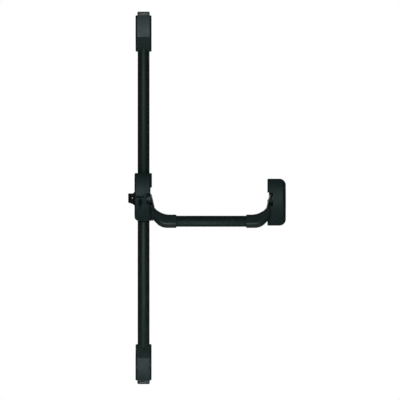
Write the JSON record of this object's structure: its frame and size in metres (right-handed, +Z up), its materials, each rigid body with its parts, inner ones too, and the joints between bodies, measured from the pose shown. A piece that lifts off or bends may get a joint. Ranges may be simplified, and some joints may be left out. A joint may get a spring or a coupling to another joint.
{
  "type": "panic exit device",
  "caption": "Surface-mounted push-bar panic exit device with side latch and covered vertical rods to a top and a bottom bolt.",
  "frame": {"origin": "on the door's face, on the centre line of the rods, at the height of the push bar's pivot; centre of the active case's four fixing holes", "axes": "+X along the door from the active case to the passive case, +Z up, +Y into the door"},
  "size_m": [0.5899, 0.1131, 1.3949],
  "materials": {
    "cover_finish": "satin near-black powder coat with a slight teal tint",
    "arm_finish": "satin near-black powder coat on a casting",
    "extrusion_finish": "satin near-black powder coat on an extrusion",
    "bolt_metal": "ground steel",
    "latch_black": "black oxide",
    "bright_pin": "polished",
    "guide_plastic": "moulded nylon",
    "bush_bronze": "sintered",
    "zinc_plated_steel": "zinc plated"
  },
  "bodies": {
    "door_side": {"active_base_plate": "cover_finish", "active_cover_upper": "cover_finish", "active_cover_lower": "cover_finish", "active_cover_screws": "zinc_plated_steel", "active_shaft_bushes": "bush_bronze", "active_return_spring": "zinc_plated_steel", "keeper_plate": "zinc_plated_steel", "keeper_spacers": "zinc_plated_steel", "keeper_screws": "zinc_plated_steel", "pinion_pin": "zinc_plated_steel", "side_latch_collar": "latch_black", "passive_base_plate": "cover_finish", "passive_cover": "cover_finish", "passive_cover_screws": "zinc_plated_steel", "passive_shaft_bushes": "bush_bronze", "passive_return_spring": "zinc_plated_steel", "upper_rod_cover": "extrusion_finish", "lower_rod_cover": "extrusion_finish", "upper_rod_guides": "guide_plastic", "lower_rod_guides": "guide_plastic", "top_latch_base": "cover_finish", "top_latch_cover": "cover_finish", "top_latch_screws": "zinc_plated_steel", "bottom_latch_base": "cover_finish", "bottom_latch_cover": "cover_finish", "bottom_latch_screws": "zinc_plated_steel"},
    "push_bar": {"push_tube": "extrusion_finish", "active_arm": "arm_finish", "passive_arm": "arm_finish", "drive_shaft": "zinc_plated_steel", "passive_shaft": "zinc_plated_steel", "drive_sector": "zinc_plated_steel", "shaft_circlips": "zinc_plated_steel", "arm_set_screws": "zinc_plated_steel", "tube_screws": "zinc_plated_steel"},
    "upper_bolt_line": {"upper_slider": "zinc_plated_steel", "upper_rod": "zinc_plated_steel", "upper_rod_nuts": "zinc_plated_steel", "top_bolt": "bolt_metal"},
    "lower_bolt_line": {"lower_slider": "zinc_plated_steel", "lower_rod": "zinc_plated_steel", "lower_rod_nuts": "zinc_plated_steel", "bottom_bolt": "bolt_metal"},
    "pinion": {"twin_pinion": "zinc_plated_steel"},
    "side_latch": {"side_latch_bar": "zinc_plated_steel", "side_latch_head": "latch_black", "latch_pin": "bright_pin"}
  },
  "joints": [
    {"name": "push_bar_swing", "type": "hinge", "parent": "door_side", "child": "push_bar", "pos_m": [0, -0.042, 0], "axis": [1, 0, 0], "range_deg": [0, 26], "stiffness_Nm_per_rad": 10, "springref_deg": -11.46},
    {"name": "upper_bolt_slide", "type": "slide", "parent": "door_side", "child": "upper_bolt_line", "axis": [0, 0, -1], "range_m": [0, 0.01423]},
    {"name": "lower_bolt_slide", "type": "slide", "parent": "door_side", "child": "lower_bolt_line", "axis": [0, 0, 1], "range_m": [0, 0.01423]},
    {"name": "pinion_turn", "type": "hinge", "parent": "door_side", "child": "pinion", "pos_m": [0, -0.006, 0.044], "axis": [0, -1, 0], "range_deg": [0, 72.27]},
    {"name": "side_latch_slide", "type": "slide", "parent": "door_side", "child": "side_latch", "axis": [1, 0, 0], "range_m": [0, 0.01738]}
  ],
  "couplings": [
    {"joint": "upper_bolt_slide", "follows": "push_bar_swing", "m_per_rad": 0.03125},
    {"joint": "lower_bolt_slide", "follows": "push_bar_swing", "m_per_rad": 0.03125},
    {"joint": "pinion_turn", "follows": "push_bar_swing", "ratio": 2.7778},
    {"joint": "side_latch_slide", "follows": "push_bar_swing", "m_per_rad": 0.038194}
  ]
}
